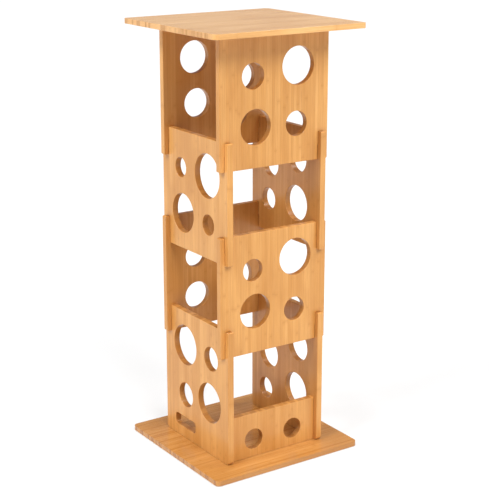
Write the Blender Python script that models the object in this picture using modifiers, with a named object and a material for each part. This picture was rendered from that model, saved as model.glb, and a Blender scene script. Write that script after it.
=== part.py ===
"""Free-standing wine rack in varnished bamboo.

Four levels of pierced panels stand on a base board and carry a top board. A level of front
and back panels alternates with a level of side panels, and each level crosses the next one
in half laps: where two panels cross, each is notched by half of the lap, and a short ear of
each runs on past the crossing. A low panel with two neck holes closes the front between the
lower side panels. The top board sits on dowels, and the base board is screwed on from below.

Frame: the origin is on the floor under the middle of the rack, +X is to the right of a
person facing the rack, -Y is its front and +Z is up. Lengths are metres.
"""

import math

import bmesh
import bpy

# ---------------------------------------------------------------- driving dimensions
GAP = 0.0003                    # clearance left between two pieces that touch

PANEL_THICKNESS = 0.015
TOWER_WIDTH = 0.292             # front and back panels, over their ears
TOWER_DEPTH = 0.275             # side panels, over their ears
EAR_LENGTH = 0.012              # how far a panel runs on past the panel it crosses
EAR_CORNER_RADIUS = 0.003
LAP_HEIGHT = 0.065              # height over which two levels cross

LOWER_SIDE_HEIGHT = 0.325
LOWER_FRONT_HEIGHT = 0.285
UPPER_SIDE_HEIGHT = 0.278
UPPER_FRONT_HEIGHT = 0.298
BOTTOM_PANEL_HEIGHT = 0.109
SIDE_FOOT_RADIUS = 0.008        # rounded lower corners of the side panels that meet the base

BOARD_WIDTH = 0.402
BOARD_DEPTH = 0.388
BOARD_CORNER_RADIUS = 0.011
TOP_THICKNESS = 0.012
BASE_THICKNESS = 0.012

HANDLE_LENGTH = 0.090           # grip slot in the lower left panel
HANDLE_HEIGHT = 0.028
HANDLE_CORNER_RADIUS = 0.008
HANDLE_CENTRE = (0.052, 0.040)  # towards the back, above the base board

DOWEL_RADIUS = 0.004
DOWEL_LENGTH = 0.030
DOWEL_IN_BOARD = 0.008          # how deep a dowel stands in the top board
DOWEL_CHAMFER = 0.001
DOWEL_SPREAD = 0.100            # outer dowels, from the middle of the panel

SCREW_LENGTH = 0.040
SCREW_SHANK_RADIUS = 0.002
SCREW_POINT_LENGTH = 0.005
SCREW_HEAD_RADIUS = 0.004
SCREW_HEAD_RIM = 0.0004
SCREW_SUNK = 0.0002             # head below the underside of the base board
SCREW_SOCKET_RADIUS = 0.0017    # six-sided drive socket, over its corners
SCREW_SOCKET_DEPTH = 0.0015
SIDE_SCREW_SPREAD = 0.105       # outer screws of a side panel, from its middle
FRONT_SCREW_SPREAD = 0.100      # screws of the bottom front panel, from its middle

FOOT_RADIUS = 0.011
FOOT_HEIGHT = 0.002
FOOT_CHAMFER = 0.0005
FOOT_INSET = 0.032              # centre of a foot, from the edges of the base board

HOLE_STEPS = 64                 # straight sides that make up a round hole
TURNED_STEPS = 16
CORNER_STEPS = 6
BOARD_CORNER_STEPS = 12

# A panel's holes stand in two columns, each on the middle line of its half of the panel.
# A hole is (column, outward, up, diameter): column is -1 or +1 (left or right on a front or
# back panel, front or back on a side panel), outward is its shift from the column's middle
# line away from the panel's middle, and up is measured from the middle of the panel's height.
UPPER_FRONT_HOLES = (
    (-1, -0.001, 0.056, 0.058),
    (+1, 0.003, 0.070, 0.086),
    (-1, -0.008, -0.057, 0.080),
    (+1, -0.001, -0.060, 0.057),
)
UPPER_BACK_HOLES = (
    (-1, 0.002, 0.071, 0.076),
    (+1, 0.014, 0.016, 0.066),
    (-1, -0.004, -0.036, 0.068),
    (+1, -0.012, -0.064, 0.082),
)
UPPER_LEFT_HOLES = (
    (-1, -0.002, 0.053, 0.102),
    (+1, 0.004, 0.053, 0.046),
    (-1, 0.002, -0.059, 0.048),
    (+1, -0.004, -0.054, 0.092),
)
UPPER_RIGHT_HOLES = (
    (-1, -0.006, 0.062, 0.066),
    (+1, 0.004, 0.030, 0.061),
    (-1, -0.011, -0.046, 0.086),
    (+1, 0.012, -0.058, 0.053),
)
LOWER_FRONT_HOLES = (
    (-1, -0.001, 0.056, 0.052),
    (+1, 0.000, 0.069, 0.088),
    (-1, -0.008, -0.043, 0.082),
    (+1, -0.002, -0.057, 0.056),
)
LOWER_BACK_HOLES = (
    (-1, 0.004, 0.034, 0.056),
    (+1, 0.001, 0.038, 0.052),
    (-1, 0.001, -0.066, 0.066),
    (+1, -0.002, -0.042, 0.084),
)
LOWER_LEFT_HOLES = (
    (-1, 0.009, 0.078, 0.058),
    (+1, -0.006, 0.078, 0.099),
    (-1, 0.001, -0.034, 0.097),
    (+1, -0.007, -0.049, 0.061),
)
LOWER_RIGHT_HOLES = (
    (-1, 0.003, 0.057, 0.076),
    (+1, 0.008, 0.001, 0.076),
    (-1, -0.004, -0.059, 0.086),
    (+1, 0.020, -0.096, 0.053),
)
BOTTOM_FRONT_HOLES = (
    (-1, -0.004, -0.010, 0.050),
    (+1, -0.004, -0.010, 0.050),
)

# ---------------------------------------------------------------- levels and planes
BASE_UNDERSIDE = FOOT_HEIGHT + GAP
BASE_TOP = BASE_UNDERSIDE + BASE_THICKNESS
LOWER_SIDE_BOTTOM = BASE_TOP + GAP
LOWER_SIDE_TOP = LOWER_SIDE_BOTTOM + LOWER_SIDE_HEIGHT
LOWER_FRONT_BOTTOM = LOWER_SIDE_TOP - LAP_HEIGHT
LOWER_FRONT_TOP = LOWER_FRONT_BOTTOM + LOWER_FRONT_HEIGHT
UPPER_SIDE_BOTTOM = LOWER_FRONT_TOP - LAP_HEIGHT
UPPER_SIDE_TOP = UPPER_SIDE_BOTTOM + UPPER_SIDE_HEIGHT
UPPER_FRONT_BOTTOM = UPPER_SIDE_TOP - LAP_HEIGHT
UPPER_FRONT_TOP = UPPER_FRONT_BOTTOM + UPPER_FRONT_HEIGHT
TOP_UNDERSIDE = UPPER_FRONT_TOP + GAP

SIDE_PLANE = TOWER_WIDTH / 2 - EAR_LENGTH - PANEL_THICKNESS / 2     # middle of a side panel
FRONT_PLANE = TOWER_DEPTH / 2 - EAR_LENGTH - PANEL_THICKNESS / 2    # middle of a front panel
INNER_HALF_WIDTH = SIDE_PLANE - PANEL_THICKNESS / 2
INNER_HALF_DEPTH = FRONT_PLANE - PANEL_THICKNESS / 2

NOTCH_HALF_WIDTH = PANEL_THICKNESS / 2 + GAP
NOTCH_DEPTH = (LAP_HEIGHT + GAP) / 2

FACING_FRONT = (math.radians(90), 0, 0)                 # outline lies along X and Z
FACING_SIDE = (math.radians(90), 0, math.radians(90))   # outline lies along Y and Z
LYING_FLAT = (0, 0, 0)

# ---------------------------------------------------------------- colours
HONEY_BAMBOO = (0.78, 0.42, 0.15)
AMBER_BAMBOO = (0.80, 0.44, 0.16)
PALE_BAMBOO = (0.84, 0.55, 0.29)
BEECH = (0.72, 0.50, 0.30)
ZINC = (0.62, 0.61, 0.58)
BLACK_RUBBER = (0.03, 0.03, 0.03)


# ---------------------------------------------------------------- scene helpers
def new_collection(name):
    collection = bpy.data.collections.new(name)
    bpy.context.scene.collection.children.link(collection)
    return collection


def set_material(part, colour, roughness, metallic=0.0):
    material = bpy.data.materials.new(part.name + "_material")
    material.use_nodes = True
    shader = material.node_tree.nodes["Principled BSDF"]
    shader.inputs["Base Color"].default_value = (*colour, 1.0)
    shader.inputs["Roughness"].default_value = roughness
    shader.inputs["Metallic"].default_value = metallic
    part.data.materials.clear()
    part.data.materials.append(material)


def smooth_round_faces(part):
    part.data.shade_smooth()
    part.data.set_sharp_from_angle(angle=math.radians(30))


# ---------------------------------------------------------------- outlines
def circle(centre, radius, steps=HOLE_STEPS):
    points = []
    for step in range(steps):
        angle = 2 * math.pi * step / steps
        points.append((centre[0] + radius * math.cos(angle), centre[1] + radius * math.sin(angle)))
    return points


def rounded_corners(corners, steps=CORNER_STEPS):
    """Replace each square corner (x, y, radius) of a closed outline by a quarter circle."""
    points = []
    for index, (x, y, radius) in enumerate(corners):
        if radius == 0:
            points.append((x, y))
            continue
        before = corners[index - 1]
        after = corners[(index + 1) % len(corners)]
        length_in = math.hypot(before[0] - x, before[1] - y)
        length_out = math.hypot(after[0] - x, after[1] - y)
        towards_before = ((before[0] - x) / length_in, (before[1] - y) / length_in)
        towards_after = ((after[0] - x) / length_out, (after[1] - y) / length_out)
        centre_x = x + radius * (towards_before[0] + towards_after[0])
        centre_y = y + radius * (towards_before[1] + towards_after[1])
        for step in range(steps + 1):
            angle = math.pi / 2 * step / steps
            across = radius * math.cos(angle)
            along = radius * math.sin(angle)
            points.append((
                centre_x - towards_after[0] * across - towards_before[0] * along,
                centre_y - towards_after[1] * across - towards_before[1] * along,
            ))
    return points


def rounded_rectangle(centre, width, height, radius, steps=CORNER_STEPS):
    left = centre[0] - width / 2
    right = centre[0] + width / 2
    low = centre[1] - height / 2
    high = centre[1] + height / 2
    corners = [
        (left, low, radius),
        (right, low, radius),
        (right, high, radius),
        (left, high, radius),
    ]
    return rounded_corners(corners, steps)


def notched_edge(notch_centre, edge, depth):
    """Corners of the two notches in one edge of a panel, from left to right."""
    corners = []
    for middle in (-notch_centre, notch_centre):
        left = middle - NOTCH_HALF_WIDTH
        right = middle + NOTCH_HALF_WIDTH
        corners += [(left, edge, 0), (left, depth, 0), (right, depth, 0), (right, edge, 0)]
    return corners


def panel_outline(length, height, notch_centre, notched_below, notched_above, foot_radius):
    """Outline of a crossing panel, with its lower edge at height 0."""
    half = length / 2
    corners = [(-half, 0, foot_radius)]
    if notched_below:
        corners += notched_edge(notch_centre, 0, NOTCH_DEPTH)
    corners.append((half, 0, foot_radius))
    corners.append((half, height, EAR_CORNER_RADIUS))
    if notched_above:
        corners += reversed(notched_edge(notch_centre, height, height - NOTCH_DEPTH))
    corners.append((-half, height, EAR_CORNER_RADIUS))
    return rounded_corners(corners)


def panel_holes(holes, column_middle, height):
    outlines = []
    for column, outward, up, diameter in holes:
        centre = (column * (column_middle + outward), height / 2 + up)
        outlines.append(circle(centre, diameter / 2))
    return outlines


# ---------------------------------------------------------------- solids
def even_out_caps(work, half_thickness):
    """Turn the diagonals of both flat sides, so that no triangle there is a mere line."""
    for level in (-half_thickness, half_thickness):
        cap = []
        for face in work.faces:
            if all(abs(vert.co.z - level) < GAP for vert in face.verts):
                cap.append(face)
        inside = set(cap)
        diagonals = [edge for edge in work.edges if inside.issuperset(edge.link_faces)]
        bmesh.ops.beautify_fill(work, faces=cap, edges=diagonals)


def slab(name, outlines, thickness, location, rotation, collection):
    """A flat piece: the first outline is its edge and the others are openings through it."""
    curve = bpy.data.curves.new(name + "_outline", "CURVE")
    curve.dimensions = "2D"
    curve.fill_mode = "BOTH"
    curve.extrude = thickness / 2
    for outline in outlines:
        spline = curve.splines.new("POLY")
        spline.points.add(len(outline) - 1)
        for point, (x, y) in zip(spline.points, outline):
            point.co = (x, y, 0, 1)
        spline.use_cyclic_u = True
    drawn = bpy.data.objects.new(name + "_outline", curve)
    drawn.location = location
    drawn.rotation_euler = rotation
    collection.objects.link(drawn)
    bpy.context.view_layer.update()

    evaluated = drawn.evaluated_get(bpy.context.evaluated_depsgraph_get())
    mesh = bpy.data.meshes.new_from_object(evaluated)
    mesh.name = name
    work = bmesh.new()
    work.from_mesh(mesh)
    bmesh.ops.remove_doubles(work, verts=work.verts, dist=0.00001)
    even_out_caps(work, thickness / 2)
    bmesh.ops.recalc_face_normals(work, faces=work.faces)
    work.to_mesh(mesh)
    work.free()

    part = bpy.data.objects.new(name, mesh)
    part.matrix_world = drawn.matrix_world
    collection.objects.link(part)
    bpy.data.objects.remove(drawn)
    bpy.data.curves.remove(curve)
    return part


def turned(name, profile, location, collection):
    """A turned piece: the profile of (radius, height) runs from its top to its bottom."""
    mesh = bpy.data.meshes.new(name)
    points = [(radius, 0, height) for radius, height in profile]
    edges = [(index, index + 1) for index in range(len(points) - 1)]
    mesh.from_pydata(points, edges, [])
    part = bpy.data.objects.new(name, mesh)
    part.location = location
    collection.objects.link(part)
    lathe = part.modifiers.new("Lathe", "SCREW")
    lathe.steps = TURNED_STEPS
    lathe.render_steps = TURNED_STEPS
    lathe.use_merge_vertices = True
    lathe.merge_threshold = 0.00001
    return part


def cutter_only(part):
    part.hide_render = True
    part.display_type = "WIRE"


def cut(part, cutter):
    difference = part.modifiers.new("Cut " + cutter.name, "BOOLEAN")
    difference.operation = "DIFFERENCE"
    difference.solver = "EXACT"
    difference.object = cutter


# ---------------------------------------------------------------- panels and boards
def front_panel(name, side, bottom, height, holes, notched_above, collection):
    """A front (side -1) or back (side +1) panel, always notched below."""
    outline = panel_outline(
        TOWER_WIDTH, height, SIDE_PLANE, True, notched_above, EAR_CORNER_RADIUS)
    openings = panel_holes(holes, INNER_HALF_WIDTH / 2, height)
    place = (0, side * FRONT_PLANE, bottom)
    part = slab(name, [outline] + openings, PANEL_THICKNESS, place, FACING_FRONT, collection)
    set_material(part, HONEY_BAMBOO, 0.35)
    return part


def side_panel(name, side, bottom, height, holes, notched_below, extra_openings, collection):
    """A left (side -1) or right (side +1) panel, always notched above."""
    foot_radius = EAR_CORNER_RADIUS if notched_below else SIDE_FOOT_RADIUS
    outline = panel_outline(TOWER_DEPTH, height, FRONT_PLANE, notched_below, True, foot_radius)
    openings = panel_holes(holes, INNER_HALF_DEPTH / 2, height) + extra_openings
    place = (side * SIDE_PLANE, 0, bottom)
    part = slab(name, [outline] + openings, PANEL_THICKNESS, place, FACING_SIDE, collection)
    set_material(part, AMBER_BAMBOO, 0.35)
    return part


def bottom_front_panel(collection):
    width = 2 * (INNER_HALF_WIDTH - GAP)
    middle = (0, BOTTOM_PANEL_HEIGHT / 2)
    outline = rounded_rectangle(middle, width, BOTTOM_PANEL_HEIGHT, 0)
    openings = panel_holes(BOTTOM_FRONT_HOLES, INNER_HALF_WIDTH / 2, BOTTOM_PANEL_HEIGHT)
    place = (0, -FRONT_PLANE, LOWER_SIDE_BOTTOM)
    part = slab("bottom_front_panel", [outline] + openings, PANEL_THICKNESS, place,
                FACING_FRONT, collection)
    set_material(part, HONEY_BAMBOO, 0.35)
    return part


def board(name, underside, thickness, collection):
    outline = rounded_rectangle(
        (0, 0), BOARD_WIDTH, BOARD_DEPTH, BOARD_CORNER_RADIUS, BOARD_CORNER_STEPS)
    place = (0, 0, underside + thickness / 2)
    part = slab(name, [outline], thickness, place, LYING_FLAT, collection)
    set_material(part, PALE_BAMBOO, 0.25)
    return part


# ---------------------------------------------------------------- fasteners and feet
def add_dowel(name, x, y, board_above, panel_below, parts, cutters):
    """A dowel that stands in the panel's upper edge and in the board's underside."""
    top = TOP_UNDERSIDE + DOWEL_IN_BOARD
    bottom = top - DOWEL_LENGTH
    profile = [
        (0, top),
        (DOWEL_RADIUS - DOWEL_CHAMFER, top),
        (DOWEL_RADIUS, top - DOWEL_CHAMFER),
        (DOWEL_RADIUS, bottom + DOWEL_CHAMFER),
        (DOWEL_RADIUS - DOWEL_CHAMFER, bottom),
        (0, bottom),
    ]
    dowel = turned(name, profile, (x, y, 0), parts)
    set_material(dowel, BEECH, 0.6)
    bore = [
        (0, top + GAP),
        (DOWEL_RADIUS + GAP, top + GAP),
        (DOWEL_RADIUS + GAP, bottom - GAP),
        (0, bottom - GAP),
    ]
    cutter = turned(name + "_bore", bore, (x, y, 0), cutters)
    cutter_only(cutter)
    cut(board_above, cutter)
    cut(panel_below, cutter)


def add_screw(name, x, y, base, panel_above, parts, cutters):
    """A countersunk screw that goes up through the base board into a panel's lower edge."""
    head = BASE_UNDERSIDE + SCREW_SUNK
    rim = head + SCREW_HEAD_RIM
    neck = rim + SCREW_HEAD_RADIUS - SCREW_SHANK_RADIUS
    tip = head + SCREW_LENGTH
    profile = [
        (0, tip),
        (SCREW_SHANK_RADIUS, tip - SCREW_POINT_LENGTH),
        (SCREW_SHANK_RADIUS, neck),
        (SCREW_HEAD_RADIUS, rim),
        (SCREW_HEAD_RADIUS, head),
        (0, head),
    ]
    screw = turned(name, profile, (x, y, 0), parts)
    set_material(screw, ZINC, 0.35, 1.0)

    bpy.ops.mesh.primitive_cylinder_add(
        vertices=6, radius=SCREW_SOCKET_RADIUS, depth=2 * SCREW_SOCKET_DEPTH,
        location=(x, y, head))
    socket = bpy.context.active_object
    socket.name = name + "_socket"
    for collection in socket.users_collection:
        collection.objects.unlink(socket)
    cutters.objects.link(socket)
    cutter_only(socket)
    cut(screw, socket)

    below = BASE_UNDERSIDE - SCREW_HEAD_RADIUS
    bore = [
        (0, tip + GAP),
        (SCREW_SHANK_RADIUS + GAP, tip + GAP),
        (SCREW_SHANK_RADIUS + GAP, neck + GAP),
        (SCREW_HEAD_RADIUS + GAP, rim + GAP),
        (SCREW_HEAD_RADIUS + GAP, below),
        (0, below),
    ]
    cutter = turned(name + "_bore", bore, (x, y, 0), cutters)
    cutter_only(cutter)
    cut(base, cutter)
    cut(panel_above, cutter)


def add_foot(name, x, y, parts):
    profile = [
        (0, FOOT_HEIGHT),
        (FOOT_RADIUS, FOOT_HEIGHT),
        (FOOT_RADIUS, FOOT_CHAMFER),
        (FOOT_RADIUS - FOOT_CHAMFER, 0),
        (0, 0),
    ]
    foot = turned(name, profile, (x, y, 0), parts)
    set_material(foot, BLACK_RUBBER, 0.8)


# ---------------------------------------------------------------- the rack
def build_rack():
    for old in list(bpy.data.objects):
        bpy.data.objects.remove(old)
    parts = new_collection("wine_rack")
    cutters = new_collection("cutters")

    top = board("top_board", TOP_UNDERSIDE, TOP_THICKNESS, parts)
    base = board("base_board", BASE_UNDERSIDE, BASE_THICKNESS, parts)

    upper_front = front_panel("upper_front_panel", -1, UPPER_FRONT_BOTTOM, UPPER_FRONT_HEIGHT,
                              UPPER_FRONT_HOLES, False, parts)
    upper_back = front_panel("upper_back_panel", 1, UPPER_FRONT_BOTTOM, UPPER_FRONT_HEIGHT,
                             UPPER_BACK_HOLES, False, parts)
    side_panel("upper_left_panel", -1, UPPER_SIDE_BOTTOM, UPPER_SIDE_HEIGHT,
               UPPER_LEFT_HOLES, True, [], parts)
    side_panel("upper_right_panel", 1, UPPER_SIDE_BOTTOM, UPPER_SIDE_HEIGHT,
               UPPER_RIGHT_HOLES, True, [], parts)
    front_panel("lower_front_panel", -1, LOWER_FRONT_BOTTOM, LOWER_FRONT_HEIGHT,
                LOWER_FRONT_HOLES, True, parts)
    front_panel("lower_back_panel", 1, LOWER_FRONT_BOTTOM, LOWER_FRONT_HEIGHT,
                LOWER_BACK_HOLES, True, parts)
    handle = rounded_rectangle(HANDLE_CENTRE, HANDLE_LENGTH, HANDLE_HEIGHT, HANDLE_CORNER_RADIUS)
    lower_left = side_panel("lower_left_panel", -1, LOWER_SIDE_BOTTOM, LOWER_SIDE_HEIGHT,
                            LOWER_LEFT_HOLES, False, [handle], parts)
    lower_right = side_panel("lower_right_panel", 1, LOWER_SIDE_BOTTOM, LOWER_SIDE_HEIGHT,
                             LOWER_RIGHT_HOLES, False, [], parts)
    bottom_front = bottom_front_panel(parts)

    for where, side, panel in (("front", -1, upper_front), ("back", 1, upper_back)):
        for place, across in (("left", -1), ("middle", 0), ("right", 1)):
            add_dowel(f"dowel_{where}_{place}", across * DOWEL_SPREAD, side * FRONT_PLANE,
                      top, panel, parts, cutters)

    for where, side, panel in (("left", -1, lower_left), ("right", 1, lower_right)):
        for place, along in (("front", -1), ("middle", 0), ("back", 1)):
            add_screw(f"screw_{where}_{place}", side * SIDE_PLANE, along * SIDE_SCREW_SPREAD,
                      base, panel, parts, cutters)
    for place, across in (("left", -1), ("right", 1)):
        add_screw(f"screw_bottom_{place}", across * FRONT_SCREW_SPREAD, -FRONT_PLANE,
                  base, bottom_front, parts, cutters)

    for row, along in (("front", -1), ("back", 1)):
        for place, across in (("left", -1), ("right", 1)):
            add_foot(f"foot_{row}_{place}", across * (BOARD_WIDTH / 2 - FOOT_INSET),
                     along * (BOARD_DEPTH / 2 - FOOT_INSET), parts)

    for part in parts.objects:
        if not part.modifiers or part.modifiers[0].type != "SCREW":
            smooth_round_faces(part)


build_rack()
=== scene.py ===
"""Looks of the bamboo wine rack: eased edges, varnished strip bamboo, studio light and camera.

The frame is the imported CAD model. Every board and panel is rebuilt from its CAD node with eased
edges and replaces it; dowels, screws and feet stay and get their materials.
Lengths are metres: +X is the rack's right, -Y its front and +Z is up.
"""

import math

import bmesh
import bpy
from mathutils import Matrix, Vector


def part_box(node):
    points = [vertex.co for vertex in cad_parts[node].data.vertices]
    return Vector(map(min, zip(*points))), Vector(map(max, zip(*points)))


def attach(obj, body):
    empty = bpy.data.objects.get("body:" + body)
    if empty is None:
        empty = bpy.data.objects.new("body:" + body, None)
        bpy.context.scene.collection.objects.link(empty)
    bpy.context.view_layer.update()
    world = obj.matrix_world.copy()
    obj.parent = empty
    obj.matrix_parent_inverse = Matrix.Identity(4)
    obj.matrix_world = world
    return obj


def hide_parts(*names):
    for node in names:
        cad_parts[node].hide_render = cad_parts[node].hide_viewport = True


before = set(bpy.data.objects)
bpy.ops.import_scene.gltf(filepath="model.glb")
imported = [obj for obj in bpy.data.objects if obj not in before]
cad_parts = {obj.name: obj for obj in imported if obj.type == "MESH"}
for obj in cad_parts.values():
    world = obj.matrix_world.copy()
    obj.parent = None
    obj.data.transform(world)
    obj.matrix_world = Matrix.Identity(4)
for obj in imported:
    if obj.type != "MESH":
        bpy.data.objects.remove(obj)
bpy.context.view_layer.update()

X, Y, Z = 0, 1, 2

# ---------------------------------------------------------------- flat pieces with eased edges
FRONT_PANELS = ("upper_front_panel", "upper_back_panel", "lower_front_panel",
                "lower_back_panel", "bottom_front_panel")
SIDE_PANELS = ("upper_left_panel", "upper_right_panel", "lower_left_panel",
               "lower_right_panel")

PANEL_EASE = 0.0012             # radius of the rounded-over edges
BOARD_EASE = 0.0038
EASE_STEPS = 4
SAME_PLACE = 0.00002            # points closer than this are one point, or lie on one face
FLAT_ANGLE = math.radians(0.2)  # faces that meet at less than this are one flat face
RIM_ANGLE = math.radians(60)    # a flat side's edge is rounded where its faces turn more
SHARP_ANGLE = math.radians(40)


def welded(node):
    """The node's mesh with its triangles joined into flat faces."""
    work = bmesh.new()
    work.from_mesh(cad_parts[node].data)
    bmesh.ops.remove_doubles(work, verts=work.verts, dist=SAME_PLACE)
    bmesh.ops.dissolve_limit(work, angle_limit=FLAT_ANGLE, verts=work.verts, edges=work.edges)
    return work


def rims(work, node, thick):
    """The edges around both flat sides, and around each hole in them."""
    found = []
    low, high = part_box(node)
    for edge in work.edges:
        ends = [vert.co[thick] for vert in edge.verts]
        on_side = any(all(abs(end - level) < SAME_PLACE for end in ends)
                      for level in (low[thick], high[thick]))
        if on_side and len(edge.link_faces) == 2 and edge.calc_face_angle() > RIM_ANGLE:
            found.append(edge)
    return found


def eased_piece(node, thick, radius):
    """A copy of a flat CAD piece whose edges along both flat sides are rounded over. thick is
    the axis of its thickness."""
    work = welded(node)
    bmesh.ops.bevel(work, geom=rims(work, node, thick), offset=radius, segments=EASE_STEPS,
                    profile=0.5, affect="EDGES", clamp_overlap=True)
    mesh = bpy.data.meshes.new(node + "_wood")
    work.to_mesh(mesh)
    work.free()
    mesh.shade_smooth()
    mesh.set_sharp_from_angle(angle=SHARP_ANGLE)
    piece = bpy.data.objects.new(node + "_wood", mesh)
    bpy.context.scene.collection.objects.link(piece)
    weighted = piece.modifiers.new("Flat faces stay flat", "WEIGHTED_NORMAL")
    weighted.keep_sharp = True
    weighted.weight = 100
    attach(piece, "root")
    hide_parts(node)
    return piece


# ---------------------------------------------------------------- node helpers
class Nodes:
    """Short ways to add and join the nodes of one tree."""

    def __init__(self, tree):
        self.tree = tree

    def add(self, kind, **settings):
        node = self.tree.nodes.new(kind)
        for key, value in settings.items():
            setattr(node, key, value)
        return node

    def feed(self, socket, value):
        if isinstance(value, bpy.types.NodeSocket):
            self.tree.links.new(value, socket)
        else:
            socket.default_value = value

    def fill(self, node, values):
        """Set or join several inputs of a node, given by name."""
        for name, value in values.items():
            self.feed(node.inputs[name], value)

    def math(self, operation, first, second=0.0, third=0.0):
        node = self.add("ShaderNodeMath", operation=operation)
        for socket, value in zip(node.inputs, (first, second, third)):
            self.feed(socket, value)
        return node.outputs[0]

    def spread(self, value, low, high, out_low=0.0, out_high=1.0, smooth=True):
        """The value's way from low to high, turned into the way from out_low to out_high."""
        node = self.add("ShaderNodeMapRange",
                        interpolation_type="SMOOTHSTEP" if smooth else "LINEAR")
        self.fill(node, {"Value": value, "From Min": low, "From Max": high,
                         "To Min": out_low, "To Max": out_high})
        return node.outputs["Result"]

    def mix(self, share, first, second, blend="MIX"):
        node = self.add("ShaderNodeMix", data_type="RGBA", blend_type=blend)
        self.feed(node.inputs["Factor"], share)
        self.feed(node.inputs[6], first)
        self.feed(node.inputs[7], second)
        return node.outputs[2]

    def vector(self, x, y, z):
        node = self.add("ShaderNodeCombineXYZ")
        for socket, value in zip(node.inputs, (x, y, z)):
            self.feed(socket, value)
        return node.outputs[0]

    def coordinates(self, kind):
        """The three parts of a texture coordinate of this kind."""
        node = self.add("ShaderNodeSeparateXYZ")
        self.feed(node.inputs[0], self.add("ShaderNodeTexCoord").outputs[kind])
        return node.outputs

    def noise(self, vector, scale=1.0, detail=2.0, roughness=0.5):
        node = self.add("ShaderNodeTexNoise", noise_dimensions="3D")
        self.fill(node, {"Vector": vector, "Scale": scale, "Detail": detail,
                         "Roughness": roughness})
        return node.outputs["Fac"]

    def grain(self, u, w, v, across, along, slide=0.0, detail=3.0, roughness=0.6):
        """Noise drawn out along v. across and along are its spots per metre."""
        return self.noise(self.vector(self.math("MULTIPLY", u, across),
                                      self.math("MULTIPLY", w, across),
                                      self.math("MULTIPLY_ADD", v, along, slide)),
                          detail=detail, roughness=roughness)


class Material(Nodes):
    """A new material, with its Principled shader."""

    def __init__(self, name):
        self.block = bpy.data.materials.new(name)
        self.block.use_nodes = True
        super().__init__(self.block.node_tree)
        self.shader = self.tree.nodes["Principled BSDF"]

    def surface(self, values):
        self.fill(self.shader, values)

    def relief(self, height, strength, depth):
        """Bumps of this depth in metres, where height is 1."""
        bump = self.add("ShaderNodeBump")
        self.fill(bump, {"Strength": strength, "Distance": depth, "Height": height})
        self.feed(self.shader.inputs["Normal"], bump.outputs[0])


# ---------------------------------------------------------------- bamboo
STRIP_WIDTH = 0.0075
STRIP_VARIETY = 0.35            # how unlike in width the strips are, from 0 to 1
STRIP_WAVER = 0.002             # how far a strip strays sideways
SEAM_WIDTH = 0.055              # as a share of a strip
NODE_SPACING = 0.26             # from one growth node of a strip to its next
NODE_HALF_HEIGHT = 0.0022
NODE_SMUDGE = 0.011             # half the height of the darker wood around a node
NODE_RAGGED = 0.016             # how ragged a growth node is, as a share of their spacing
UNSHADED_RIM = 0.003          # depth in from a panel's outline within which the hole walls get no painted shade
WALL_SHADE_DEPTH = 0.005             # depth in from the outline at which the hole walls' painted shade is full

STRAW = (0.76, 0.395, 0.125, 1)
HONEY = (0.68, 0.325, 0.086, 1)
TOFFEE = (0.52, 0.215, 0.044, 1)
FIBRE = (0.34, 0.118, 0.020, 1)
# the deep brown of the painted shade on the inner faces and the hole walls
PAINTED_SHADE_BROWN = (0.30, 0.092, 0.010, 1)
BLOND_TINT = (1.20, 1.39, 1.88, 1)
AMBER_TINT = (0.82, 0.80, 0.80, 1)

DARK_STRIPS = 0.34              # how far, from 0 to 1, each mark takes the wood's colour
CLOUDS = 0.55                   # towards a darker one
STREAKS = 0.52
FINE_FIBRES = 0.42
SMUDGES = 0.28
KNOTS = 0.12
SEAMS = 0.16
END_GRAIN = 0.60
# painted shade: how far the inner faces and the hole walls are darkened
INNER_FACE_SHADE = 0.30
HOLE_WALL_SHADE = 0.48


def strip_cells(n, strips, feature):
    """A row of cells that are one strip wide."""
    cells = n.add("ShaderNodeTexVoronoi", voronoi_dimensions="1D", feature=feature)
    n.fill(cells, {"W": strips, "Scale": 1.0, "Randomness": STRIP_VARIETY})
    return cells.outputs


def strip_marks(n, u, w, v):
    """Three numbers from 0 to 1 that each strip draws for itself, and the seams beside it."""
    waver = n.noise(n.vector(n.math("MULTIPLY", u, 6.0), w, n.math("MULTIPLY", v, 1.5)))
    strips = n.math("DIVIDE", n.math("MULTIPLY_ADD", waver, STRIP_WAVER, u), STRIP_WIDTH)
    draws = n.add("ShaderNodeSeparateColor")
    n.feed(draws.inputs[0], strip_cells(n, strips, "F1")["Color"])
    to_seam = strip_cells(n, strips, "DISTANCE_TO_EDGE")["Distance"]
    seam = n.spread(to_seam, 0.0, SEAM_WIDTH, 1.0, 0.0)
    return draws.outputs[0], draws.outputs[1], draws.outputs[2], seam


def growth_nodes(n, v, phase):
    """The ridge of each growth node and the darker wood around it, both from 0 to 1."""
    turn = n.math("FRACT", n.math("ADD", n.math("DIVIDE", v, NODE_SPACING), phase))
    off = n.math("ABSOLUTE", n.math("SUBTRACT", turn, 0.5))
    knot = n.spread(off, 0.0, NODE_HALF_HEIGHT / NODE_SPACING, 1.0, 0.0)
    smudge = n.spread(off, 0.0, NODE_SMUDGE / NODE_SPACING, 1.0, 0.0)
    return knot, smudge


def painted_inner_shade(n, node, place, facing, outline_axes, deep, inward):
    """How much painted shade darkens the wood on the inner face and on the walls of the sawn
    holes.
    """
    inner = n.spread(n.math("MULTIPLY", facing[deep], float(inward)), 0.3, 0.9)
    sawn = n.spread(n.math("ABSOLUTE", facing[deep]), 0.3, 0.9, 1.0, 0.0)
    low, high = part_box(node)
    for axis in outline_axes:
        middle, half = (low[axis] + high[axis]) / 2, (high[axis] - low[axis]) / 2
        from_middle = n.math("ABSOLUTE", n.math("SUBTRACT", place[axis], middle))
        inside = n.spread(from_middle, half - WALL_SHADE_DEPTH, half - UNSHADED_RIM, 1.0, 0.0)
        sawn = n.math("MULTIPLY", sawn, inside)
    return n.math("MAXIMUM", n.math("MULTIPLY", inner, INNER_FACE_SHADE),
                  n.math("MULTIPLY", sawn, HOLE_WALL_SHADE))


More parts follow.
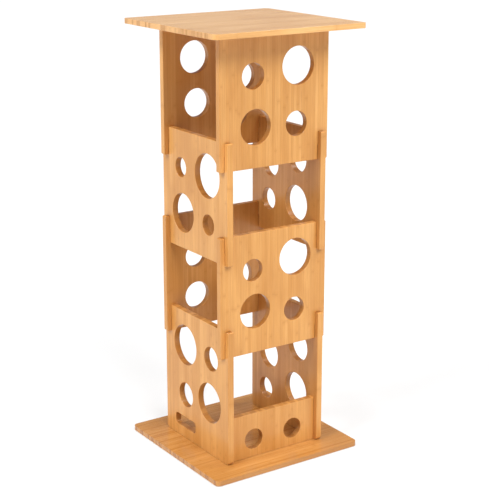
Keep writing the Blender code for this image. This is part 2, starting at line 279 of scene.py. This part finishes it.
def bamboo(name, node, across, deep, along, shift, inward=0, gloss=0.30,
           coat=0.2, figure=1.0, tint=None):
    """Varnished strip bamboo. across, deep and along are the axes (X, Y or Z) of the
    strips' width, depth and length; shift makes each piece its own cut of wood. inward is
    the side of a panel that faces the inside of the tower; that face and the walls of the
    sawn holes get a painted shade of darker wood. figure is how much the strips and
    streaks differ from one another."""
    n = Material(name)
    place = n.coordinates("Object")
    facing = n.coordinates("Normal")
    u = n.math("ADD", place[across], shift)
    w = place[deep]
    v = n.math("ADD", place[along], shift * 1.7)

    tone, node_draw, hue, seam = strip_marks(n, u, w, v)
    slide = n.math("MULTIPLY", tone, 7.0)
    fine = n.grain(u, w, v, across=2300, along=26, slide=slide)
    streak = n.grain(u, w, v, across=620, along=6, slide=slide, roughness=0.55)
    cloud = n.grain(u, w, v, across=16, along=5, detail=2.0, roughness=0.5)
    knot, smudge = growth_nodes(n, v, n.math("MULTIPLY_ADD", streak, NODE_RAGGED, node_draw))
    end = n.spread(n.math("ABSOLUTE", facing[along]), 0.5, 0.9)
    grain_end = n.mix(n.spread(hue, 0.25, 0.75, 0.10, 0.85), HONEY, FIBRE)

    colour = n.mix(n.spread(tone, 0.0, 1.0, smooth=False), STRAW, HONEY)
    colour = n.mix(n.spread(hue, 0.55, 1.0, 0.0, DARK_STRIPS * figure), colour, TOFFEE)
    colour = n.mix(n.spread(cloud, 0.36, 0.68, 0.0, CLOUDS), colour, TOFFEE)
    colour = n.mix(n.spread(streak, 0.44, 0.72, 0.0, STREAKS * figure), colour, TOFFEE)
    colour = n.mix(n.spread(fine, 0.50, 0.78, 0.0, FINE_FIBRES), colour, FIBRE)
    colour = n.mix(n.math("MULTIPLY", smudge, SMUDGES), colour, TOFFEE)
    colour = n.mix(n.math("MULTIPLY", knot, KNOTS), colour, FIBRE)
    colour = n.mix(n.math("MULTIPLY", seam, SEAMS), colour, FIBRE)
    colour = n.mix(n.math("MULTIPLY", end, END_GRAIN), colour, grain_end)
    # painted shade: the inner face and the hole walls are darkened towards a deep brown
    if inward:
        painted_shade = painted_inner_shade(n, node, place, facing, (across, along), deep, inward)
        colour = n.mix(painted_shade, colour, PAINTED_SHADE_BROWN)
    if tint:
        colour = n.mix(1.0, colour, tint, "MULTIPLY")

    rough = n.spread(streak, 0.3, 0.8, gloss, gloss + 0.10, smooth=False)
    n.surface({"Base Color": colour,
               "Roughness": n.math("MULTIPLY_ADD", seam, 0.10, rough),
               "Specular IOR Level": 0.35,
               "Coat Weight": coat, "Coat Roughness": 0.14, "Coat IOR": 1.45})
    height = n.math("MULTIPLY_ADD", seam, -0.7, n.math("MULTIPLY", fine, 0.35))
    n.relief(n.math("MULTIPLY_ADD", knot, 0.5, height), strength=0.22, depth=0.0004)
    return n.block


# ---------------------------------------------------------------- fasteners and feet
def zinc():
    n = Material("zinc_plated_steel")
    cloud = n.noise(n.add("ShaderNodeTexCoord").outputs["Object"], 900, 4.0, 0.6)
    n.surface({"Base Color": n.mix(cloud, (0.52, 0.51, 0.47, 1), (0.74, 0.73, 0.70, 1)),
               "Roughness": n.spread(cloud, 0.2, 0.8, 0.28, 0.45, smooth=False),
               "Metallic": 1.0})
    return n.block


def beech():
    n = Material("bare_beech")
    x, y, z = n.coordinates("Object")
    streak = n.grain(x, y, z, across=1500, along=60, detail=4.0)
    n.surface({"Base Color": n.mix(streak, (0.72, 0.50, 0.30, 1), (0.52, 0.31, 0.16, 1)),
               "Roughness": n.spread(streak, 0.2, 0.8, 0.55, 0.75, smooth=False)})
    return n.block


def rubber():
    n = Material("black_rubber")
    pores = n.noise(n.add("ShaderNodeTexCoord").outputs["Object"], 2600, 3.0, 0.6)
    n.surface({"Base Color": n.mix(pores, (0.020, 0.020, 0.021, 1), (0.048, 0.047, 0.046, 1)),
               "Roughness": n.spread(pores, 0.2, 0.8, 0.65, 0.85, smooth=False)})
    n.relief(pores, strength=0.4, depth=0.0001)
    return n.block


def paint(piece, material):
    piece.data.materials.clear()
    piece.data.materials.append(material)


# ---------------------------------------------------------------- the rack
for index, node in enumerate(FRONT_PANELS):
    piece = eased_piece(node, Y, PANEL_EASE)
    inward = -1 if "back" in node else 1
    paint(piece, bamboo(node + "_bamboo", node, X, Y, Z, 0.613 * (index + 1), inward))
for index, node in enumerate(SIDE_PANELS):
    piece = eased_piece(node, X, PANEL_EASE)
    inward = -1 if "right" in node else 1
    paint(piece, bamboo(node + "_bamboo", node, Y, X, Z, 0.377 * (index + 1), inward))
for node, shift, tint in (("top_board", 0.271, BLOND_TINT), ("base_board", 0.542, AMBER_TINT)):
    piece = eased_piece(node, Z, BOARD_EASE)
    paint(piece, bamboo(node + "_bamboo", node, Y, Z, X, shift,
                        gloss=0.18, coat=0.35, figure=1.7, tint=tint))

small_parts = {"dowel": beech(), "screw": zinc(), "foot": rubber()}
for name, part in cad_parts.items():
    kind = name.split("_")[0]
    if kind in small_parts:
        paint(part, small_parts[kind])


# ---------------------------------------------------------------- floor, light and camera
FLOOR_SIZE = 60
FLOOR_GLOW = 0.55               # keeps the floor nearly white, even in the rack's shadow
WALL_GLOW = 1.0
CEILING_GLOW = 0.28
WALL_TOP = 0.01                 # the walls' white fades into the ceiling's grey between these
CEILING_EDGE = 0.11             # two sines of the elevation

CAMERA_PLACE = (-1.6406, -2.4400, 1.3362)
CAMERA_TILT = 74.0              # degrees up from straight down
CAMERA_TURN = 33.987            # degrees from straight back (+Y) towards the right (+X)
CAMERA_LENS = 95.44             # focal length in millimetres, for a sensor this wide:
SENSOR_WIDTH = 36


def stage_floor():
    bpy.ops.mesh.primitive_plane_add(size=FLOOR_SIZE, location=(0, 0, 0))
    floor = bpy.context.active_object
    floor.name = "floor"
    n = Material("pale_floor")
    n.surface({"Base Color": (0.40, 0.40, 0.40, 1), "Roughness": 0.9,
               "Specular IOR Level": 0.1,
               "Emission Color": (1, 1, 1, 1), "Emission Strength": FLOOR_GLOW})
    paint(floor, n.block)


def soft_sun(name, azimuth, elevation, strength, spread):
    """A very soft sun. Its azimuth turns from the rack's front (-Y) towards its left (-X)."""
    data = bpy.data.lights.new(name, "SUN")
    data.energy = strength
    data.angle = math.radians(spread)
    sun = bpy.data.objects.new(name, data)
    sun.rotation_euler = (math.radians(90 - elevation), 0, -math.radians(azimuth))
    bpy.context.scene.collection.objects.link(sun)


def soft_box(name, location, aim, size, power):
    data = bpy.data.lights.new(name, "AREA")
    data.size = size
    data.energy = power
    light = bpy.data.objects.new(name, data)
    light.location = location
    towards = Vector(aim) - light.location
    light.rotation_euler = towards.to_track_quat("-Z", "Y").to_euler()
    bpy.context.scene.collection.objects.link(light)


def studio():
    """White walls around the floor, a dimmer ceiling, and three lights."""
    world = bpy.data.worlds.new("studio")
    world.use_nodes = True
    n = Nodes(world.node_tree)
    sine = n.coordinates("Generated")[Z]
    glow = n.spread(sine, WALL_TOP, CEILING_EDGE, WALL_GLOW, CEILING_GLOW)
    n.fill(n.tree.nodes["Background"], {"Color": (1, 1, 1, 1), "Strength": glow})
    bpy.context.scene.world = world
    soft_sun("front_light", azimuth=4, elevation=46, strength=2.20, spread=26)
    soft_sun("left_light", azimuth=87, elevation=48, strength=2.25, spread=22)
    soft_box("edge_light", location=(1.40, -0.75, 3.10), aim=(0, 0, 1), size=0.5, power=30)


def camera():
    data = bpy.data.cameras.new("camera")
    data.sensor_width = SENSOR_WIDTH
    data.lens = CAMERA_LENS
    data.clip_end = 100
    view = bpy.data.objects.new("camera", data)
    view.location = CAMERA_PLACE
    view.rotation_euler = (math.radians(CAMERA_TILT), 0, -math.radians(CAMERA_TURN))
    bpy.context.scene.collection.objects.link(view)
    bpy.context.scene.camera = view


stage_floor()
studio()
camera()
bpy.context.scene.view_settings.view_transform = "Standard"
